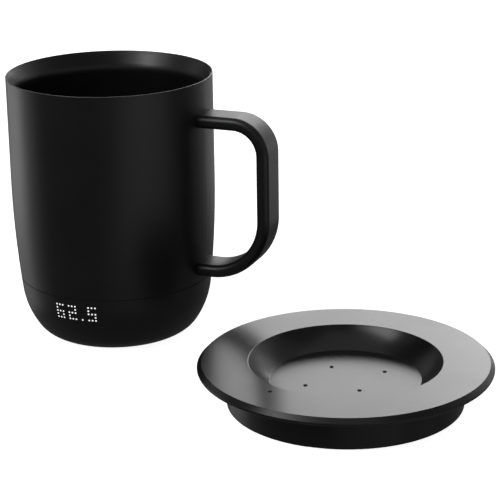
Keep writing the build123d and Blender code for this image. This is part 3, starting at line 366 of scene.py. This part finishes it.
def newMaterial(name):
    material = bpy.data.materials.new(name)
    material.use_nodes = True
    tree = material.node_tree
    shader = tree.nodes["Principled BSDF"]
    shader.location = (500, 100)
    tree.nodes["Material Output"].location = (800, 100)
    coordinates = addNode(tree, "TexCoord", (-1100, 0))
    return material, tree, shader, coordinates.outputs["Object"]


def placeGroup(tree, group, place, vector, **values):
    node = addNode(tree, "Group", place)
    node.node_tree = group
    link(tree, vector, node.inputs["Vector"])
    for label, value in values.items():
        node.inputs[label].default_value = value
    return node


def colourMix(tree, place, first, second, factor):
    node = addNode(tree, "Mix", place, data_type="RGBA")
    for socket, colour in ((node.inputs[6], first), (node.inputs[7], second)):
        if isinstance(colour, tuple):
            socket.default_value = (*colour, 1)
        else:
            link(tree, colour, socket)
    link(tree, factor, node.inputs[0])
    return node.outputs[2]


def bumpNode(tree, distance, height, shader):
    bump = addNode(tree, "Bump", (200, -200))
    bump.inputs["Distance"].default_value = distance
    link(tree, height, bump.inputs["Height"])
    link(tree, bump.outputs["Normal"], shader.inputs["Normal"])


# Coated finishes: paint, glaze, moulded plastic and rubber, with a lighter edge colour that is
# partly wear and partly painted sheen. Grains and clouds are counts for each metre, relief and the
# width of that lighter edge colour are metres
coatFinishes = {
    "satinBlackCoat": {
        "colour": (0.0062, 0.0062, 0.0066),
        "cloudColour": (0.0085, 0.0085, 0.0090),
        "wornAndSheenColour": (0.035, 0.035, 0.036),
        "roughness": (0.325, 0.355),
        "grains": 5200.0,
        "clouds": 45.0,
        "relief": 0.000006,
        "wearAndSheenWidth": 0.0005,
        "wearAndSheen": 0.35,
        "dust": 0.05,
    },
    "blackGlaze": {
        "colour": (0.0055, 0.0055, 0.0058),
        "cloudColour": (0.0075, 0.0075, 0.0080),
        "wornAndSheenColour": (0.02, 0.02, 0.021),
        "roughness": (0.285, 0.315),
        "grains": 3600.0,
        "clouds": 60.0,
        "relief": 0.000005,
        "wearAndSheenWidth": 0.0003,
        "wearAndSheen": 0.15,
        "dust": 0.02,
    },
    "coasterBlack": {
        "colour": (0.0065, 0.0065, 0.0070),
        "cloudColour": (0.0090, 0.0090, 0.0096),
        "wornAndSheenColour": (0.04, 0.04, 0.041),
        "roughness": (0.235, 0.265),
        "grains": 4800.0,
        "clouds": 35.0,
        "relief": 0.000001,
        "wearAndSheenWidth": 0.0005,
        "wearAndSheen": 0.2,
        "dust": 0.012,
    },
    "mouldedBlack": {
        "colour": (0.010, 0.010, 0.011),
        "cloudColour": (0.014, 0.014, 0.015),
        "wornAndSheenColour": (0.05, 0.05, 0.051),
        "roughness": (0.42, 0.52),
        "grains": 4000.0,
        "clouds": 60.0,
        "relief": 0.000010,
        "wearAndSheenWidth": 0.0004,
        "wearAndSheen": 0.4,
        "dust": 0.08,
    },
    "mouldedGrey": {
        "colour": (0.075, 0.075, 0.080),
        "cloudColour": (0.095, 0.095, 0.100),
        "wornAndSheenColour": (0.17, 0.17, 0.175),
        "roughness": (0.38, 0.46),
        "grains": 4200.0,
        "clouds": 90.0,
        "relief": 0.000008,
        "wearAndSheenWidth": 0.0004,
        "wearAndSheen": 0.4,
        "dust": 0.05,
    },
    "blackRubber": {
        "colour": (0.014, 0.014, 0.014),
        "cloudColour": (0.022, 0.022, 0.022),
        "wornAndSheenColour": (0.05, 0.05, 0.05),
        "roughness": (0.66, 0.80),
        "grains": 3000.0,
        "clouds": 120.0,
        "relief": 0.000012,
        "wearAndSheenWidth": 0.0004,
        "wearAndSheen": 0.5,
        "dust": 0.25,
    },
    "redRubber": {
        "colour": (0.42, 0.030, 0.024),
        "cloudColour": (0.50, 0.045, 0.035),
        "wornAndSheenColour": (0.60, 0.12, 0.10),
        "roughness": (0.45, 0.55),
        "grains": 5000.0,
        "clouds": 200.0,
        "relief": 0.000006,
        "wearAndSheenWidth": 0.0003,
        "wearAndSheen": 0.2,
        "dust": 0.05,
    },
    "chipBlack": {
        "colour": (0.018, 0.018, 0.019),
        "cloudColour": (0.030, 0.030, 0.031),
        "wornAndSheenColour": (0.07, 0.07, 0.07),
        "roughness": (0.50, 0.62),
        "grains": 6000.0,
        "clouds": 300.0,
        "relief": 0.000010,
        "wearAndSheenWidth": 0.0003,
        "wearAndSheen": 0.3,
        "dust": 0.05,
    },
    "sleeveBlue": {
        "colour": (0.045, 0.13, 0.30),
        "cloudColour": (0.060, 0.16, 0.35),
        "wornAndSheenColour": (0.30, 0.38, 0.50),
        "roughness": (0.25, 0.34),
        "grains": 900.0,
        "clouds": 80.0,
        "relief": 0.00004,
        "wearAndSheenWidth": 0.0005,
        "wearAndSheen": 0.3,
        "dust": 0.04,
    },
    "boardGreen": {
        "colour": (0.012, 0.11, 0.045),
        "cloudColour": (0.020, 0.16, 0.070),
        "wornAndSheenColour": (0.25, 0.28, 0.16),
        "roughness": (0.28, 0.42),
        "grains": 1400.0,
        "clouds": 260.0,
        "relief": 0.00002,
        "wearAndSheenWidth": 0.0004,
        "wearAndSheen": 0.5,
        "dust": 0.05,
    },
    "lampWhite": {
        "colour": (0.80, 0.78, 0.66),
        "cloudColour": (0.86, 0.84, 0.74),
        "wornAndSheenColour": (0.90, 0.89, 0.84),
        "roughness": (0.18, 0.28),
        "grains": 3000.0,
        "clouds": 500.0,
        "relief": 0.000004,
        "wearAndSheenWidth": 0.0002,
        "wearAndSheen": 0.2,
        "dust": 0.02,
    },
    "blackPin": {
        "colour": (0.0040, 0.0040, 0.0042),
        "cloudColour": (0.0060, 0.0060, 0.0063),
        "wornAndSheenColour": (0.012, 0.012, 0.012),
        "roughness": (0.42, 0.50),
        "specular": 0.06,
        "grains": 6000.0,
        "clouds": 400.0,
        "relief": 0.000002,
        "wearAndSheenWidth": 0.0001,
        "wearAndSheen": 0.2,
        "dust": 0.0,
    },
    "darkDot": {
        "colour": (0.0075, 0.0075, 0.0080),
        "cloudColour": (0.011, 0.011, 0.012),
        "wornAndSheenColour": (0.02, 0.02, 0.02),
        "roughness": (0.36, 0.44),
        "grains": 5000.0,
        "clouds": 300.0,
        "relief": 0.000004,
        "wearAndSheenWidth": 0.0001,
        "wearAndSheen": 0.1,
        "dust": 0.02,
    },
}

# Bare metals and films, with the direction in which their lines run
metalFinishes = {
    "turnedSteel": {
        "colour": (0.50, 0.50, 0.51),
        "lineColour": (0.62, 0.62, 0.63),
        "roughness": (0.26, 0.40),
        "stretch": (1.0, 0.05, 1.0),
        "lines": 3500.0,
        "relief": 0.000006,
        "metallic": 1.0,
    },
    "rolledAluminium": {
        "colour": (0.62, 0.62, 0.63),
        "lineColour": (0.76, 0.76, 0.77),
        "roughness": (0.30, 0.42),
        "stretch": (0.03, 1.0, 1.0),
        "lines": 3000.0,
        "relief": 0.000006,
        "metallic": 1.0,
    },
    "goldPlate": {
        "colour": (0.62, 0.44, 0.16),
        "lineColour": (0.80, 0.60, 0.26),
        "roughness": (0.20, 0.34),
        "stretch": (1.0, 0.10, 1.0),
        "lines": 4500.0,
        "relief": 0.000004,
        "metallic": 1.0,
    },
    "brassCan": {
        "colour": (0.50, 0.40, 0.18),
        "lineColour": (0.64, 0.53, 0.27),
        "roughness": (0.28, 0.40),
        "stretch": (1.0, 1.0, 0.05),
        "lines": 4000.0,
        "relief": 0.000005,
        "metallic": 1.0,
    },
    "amberFilm": {
        "colour": (0.42, 0.17, 0.025),
        "lineColour": (0.56, 0.27, 0.05),
        "roughness": (0.22, 0.34),
        "stretch": (1.0, 0.3, 1.0),
        "lines": 700.0,
        "relief": 0.00001,
        "metallic": 0.0,
    },
}


def makeCoat(name, finish):
    material, tree, shader, vector = newMaterial(name)
    sizes = {"Grains": finish["grains"], "Clouds": finish["clouds"]}
    grain = placeGroup(tree, coatGrain, (-800, 300), vector, **sizes)
    wearAndSheen = placeGroup(tree, edgeWearAndSheen, (-800, 60), vector, Width=finish["wearAndSheenWidth"])
    dust = placeGroup(tree, settledDust, (-800, -180), vector, Amount=finish["dust"])
    # edges take a lighter colour, partly wear and partly a painted highlight along them
    wornAndSheen = mathNode(tree, (-550, 60), "MULTIPLY", finish["wearAndSheen"])
    link(tree, wearAndSheen.outputs["Mask"], wornAndSheen.inputs[0])
    cloud = grain.outputs["Cloud"]
    base = colourMix(tree, (-550, 400), finish["colour"], finish["cloudColour"], cloud)
    wornAndSheenTone = colourMix(tree, (-300, 300), base, finish["wornAndSheenColour"], wornAndSheen.outputs[0])
    dusty = colourMix(tree, (-50, 220), wornAndSheenTone, dustShape["colour"], dust.outputs["Mask"])
    rough = rangeNode(tree, (-300, 0), 0.0, 1.0, *finish["roughness"])
    rubbed = mathNode(tree, (-50, -40), "MULTIPLY_ADD", dustShape["dulls"])
    shader.inputs["Specular IOR Level"].default_value = finish.get("specular", 0.5)
    link(tree, cloud, rough.inputs["Value"])
    link(tree, dust.outputs["Mask"], rubbed.inputs[0])
    link(tree, rough.outputs["Result"], rubbed.inputs[2])
    link(tree, dusty, shader.inputs["Base Color"])
    link(tree, rubbed.outputs[0], shader.inputs["Roughness"])
    bumpNode(tree, finish["relief"], grain.outputs["Height"], shader)
    return material


# Stains on bare metal, which change its gloss from place to place
metalStains = {"Grains": 2500.0, "Clouds": 150.0}


def makeMetal(name, finish):
    material, tree, shader, vector = newMaterial(name)
    run = {"Stretch": finish["stretch"], "Lines": finish["lines"]}
    lines = placeGroup(tree, drawnLines, (-800, 200), vector, **run)
    stains = placeGroup(tree, coatGrain, (-800, -60), vector, **metalStains)
    mask = lines.outputs["Mask"]
    drawn = colourMix(tree, (-500, 300), finish["colour"], finish["lineColour"], mask)
    rough = rangeNode(tree, (-300, 0), 0.0, 1.0, *finish["roughness"])
    shader.inputs["Metallic"].default_value = finish["metallic"]
    link(tree, stains.outputs["Cloud"], rough.inputs["Value"])
    link(tree, drawn, shader.inputs["Base Color"])
    link(tree, rough.outputs["Result"], shader.inputs["Roughness"])
    bumpNode(tree, finish["relief"], lines.outputs["Height"], shader)
    return material


# Felt: short crossing fibres
felt = {
    "colour": (0.42, 0.41, 0.37),
    "fibreColour": (0.62, 0.60, 0.55),
    "fibres": 1500.0,
    "runs": ((1.0, 0.12, 1.0), (0.12, 1.0, 1.0)),
    "relief": 0.00015,
    "roughness": 0.95,
    "sheen": 0.3,
}


def makeFelt():
    material, tree, shader, vector = newMaterial("greyFelt")
    crossed = mathNode(tree, (-550, 200), "MAXIMUM")
    for row, stretch in enumerate(felt["runs"]):
        run = {"Stretch": stretch, "Lines": felt["fibres"]}
        fibres = placeGroup(tree, drawnLines, (-800, 300 - 260 * row), vector, **run)
        link(tree, fibres.outputs["Mask"], crossed.inputs[row])
    fibre = crossed.outputs[0]
    colour = colourMix(tree, (-300, 200), felt["colour"], felt["fibreColour"], fibre)
    shader.inputs["Roughness"].default_value = felt["roughness"]
    shader.inputs["Sheen Weight"].default_value = felt["sheen"]
    link(tree, colour, shader.inputs["Base Color"])
    bumpNode(tree, felt["relief"], fibre, shader)
    return material


# Lit dots: white light a little stronger at some dots than at others
litDots = {
    "colour": (0.92, 0.93, 0.93),
    "brightColour": (1.0, 1.0, 1.0),
    "strength": 0.82,
    "roughness": 0.3,
    "sizes": {"Grains": 6000.0, "Clouds": 700.0},
}


def makeLitDots():
    material, tree, shader, vector = newMaterial("litDots")
    grain = placeGroup(tree, coatGrain, (-800, 200), vector, **litDots["sizes"])
    cloud = grain.outputs["Cloud"]
    glow = colourMix(tree, (-300, 200), litDots["colour"], litDots["brightColour"], cloud)
    link(tree, glow, shader.inputs["Base Color"])
    link(tree, glow, shader.inputs["Emission Color"])
    shader.inputs["Emission Strength"].default_value = litDots["strength"]
    shader.inputs["Roughness"].default_value = litDots["roughness"]
    return material


# Light guide: smoked moulded rod, dark while its lamp is off
guide = {
    "colour": (0.020, 0.020, 0.021),
    "cloudColour": (0.035, 0.035, 0.036),
    "roughness": (0.30, 0.40),
    "transmission": 0.9,
    "specular": 0.1,
    "bend": 1.49,
    "sizes": {"Grains": 4000.0, "Clouds": 600.0},
}


def makeGuide():
    material, tree, shader, vector = newMaterial("smokedGuide")
    grain = placeGroup(tree, coatGrain, (-800, 200), vector, **guide["sizes"])
    cloud = grain.outputs["Cloud"]
    tint = colourMix(tree, (-300, 200), guide["colour"], guide["cloudColour"], cloud)
    rough = rangeNode(tree, (-300, -60), 0.0, 1.0, *guide["roughness"])
    shader.inputs["Transmission Weight"].default_value = guide["transmission"]
    shader.inputs["Specular IOR Level"].default_value = guide["specular"]
    shader.inputs["IOR"].default_value = guide["bend"]
    link(tree, cloud, rough.inputs["Value"])
    link(tree, tint, shader.inputs["Base Color"])
    link(tree, rough.outputs["Result"], shader.inputs["Roughness"])
    return material


materials = {name: makeCoat(name, finish) for name, finish in coatFinishes.items()}
materials.update({name: makeMetal(name, finish) for name, finish in metalFinishes.items()})
materials["greyFelt"] = makeFelt()
materials["litDots"] = makeLitDots()
materials["smokedGuide"] = makeGuide()
print("materials:", len(materials), "made")


# Which nodes of the model wear each finish
wornBy = {
    "satinBlackCoat": "outer_shell handle base_housing",
    "blackGlaze": "inner_vessel",
    "coasterBlack": "coaster_top coaster_base",
    "mouldedBlack": "readout_baffle bottom_cover battery_holder",
    "mouldedGrey": "power_button",
    "blackRubber": "seam_gasket bottom_seal foot_ring button_boot coaster_foot",
    "redRubber": "heater_leads",
    "chipBlack": "main_board_parts power_switch coaster_board_parts power_socket_tongue",
    "sleeveBlue": "battery_cell_1 battery_cell_2",
    "boardGreen": "main_board readout_board coaster_board",
    "lampWhite": "readout_lamps indicator_lamp",
    "darkDot": "readout_dots_unlit",
    "litDots": "readout_dots_lit",
    "turnedSteel": (
        "handle_screws battery_contacts chassis_screws bottom_cover_screws coaster_screws"
        " coaster_board_screws power_socket pin_spring_1 pin_spring_2 pin_spring_3 pin_spring_4"
    ),
    "rolledAluminium": "heater_plate",
    "goldPlate": "contact_ring_outer contact_ring_inner ring_springs pin_barrels",
    "blackPin": "contact_pin_1 contact_pin_2 contact_pin_3 contact_pin_4",
    "brassCan": "temperature_sensor",
    "amberFilm": "heating_film readout_ribbon",
    "greyFelt": "insulation_pad",
    "smokedGuide": "indicator_guide",
}


def dress(node, material):
    data = nodes[node].data
    data.materials.clear()
    data.materials.append(material)
    for face in data.polygons:
        face.material_index = 0


dressed = set()
for finish, names in wornBy.items():
    for name in names.split():
        dress(name, materials[finish])
        dressed.add(name)
print("dressed:", len(dressed), "of", len(nodes), "nodes")


# Pin springs: each gets a mesh of its own
pinSprings = {"pins": 4, "travel": 0.00025}


def squeezeSprings():
    for number in range(1, pinSprings["pins"] + 1):
        spring = f"pin_spring_{number}"
        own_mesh(nodes[spring])


squeezeSprings()


# Floor: a wide pale disc, plain white to the camera and left out of reflections
floor = {
    "radius": 4.0,
    "rings": 6,
    "sides": 96,
    "glow": 0.93,
    "colour": (0.80, 0.80, 0.80),
    "cloudColour": (0.85, 0.85, 0.85),
    "sizes": {"Grains": 900.0, "Clouds": 6.0},
}


def makeFloorMaterial():
    material, tree, shader, vector = newMaterial("paleFloor")
    grain = placeGroup(tree, coatGrain, (-800, 200), vector, **floor["sizes"])
    cloud = grain.outputs["Cloud"]
    tone = colourMix(tree, (-300, 200), floor["colour"], floor["cloudColour"], cloud)
    path = addNode(tree, "LightPath", (-300, -200))
    glow = mathNode(tree, (-50, -200), "MULTIPLY", floor["glow"])
    link(tree, path.outputs["Is Camera Ray"], glow.inputs[0])
    link(tree, glow.outputs[0], shader.inputs["Emission Strength"])
    shader.inputs["Emission Color"].default_value = (1, 1, 1, 1)
    shader.inputs["Roughness"].default_value = 1.0
    shader.inputs["Specular IOR Level"].default_value = 0.0
    link(tree, tone, shader.inputs["Base Color"])
    return material


def floorMesh():
    points = [(0.0, 0.0, 0.0)]
    faces = []
    sides = floor["sides"]
    for ring in range(1, floor["rings"] + 1):
        reach = floor["radius"] * (ring / floor["rings"]) ** 2
        for side in range(sides):
            turn = 2 * math.pi * side / sides
            points.append((reach * math.cos(turn), reach * math.sin(turn), 0.0))
    for side in range(sides):
        following = (side + 1) % sides
        faces.append((0, 1 + side, 1 + following))
        for ring in range(floor["rings"] - 1):
            low = 1 + ring * sides
            high = low + sides
            faces.append((low + side, high + side, high + following, low + following))
    return points, faces


def makeFloor():
    points, faces = floorMesh()
    data = bpy.data.meshes.new("paleFloor")
    data.from_pydata(points, [], faces)
    data.materials.append(makeFloorMaterial())
    disc = bpy.data.objects.new("paleFloor", data)
    disc.location.z = cadLow.z
    scene.collection.objects.link(disc)
    # the panels below the table top shine past it
    disc.visible_glossy = False
    disc.visible_diffuse = False
    disc.visible_shadow = False


makeFloor()
print("floor: laid")
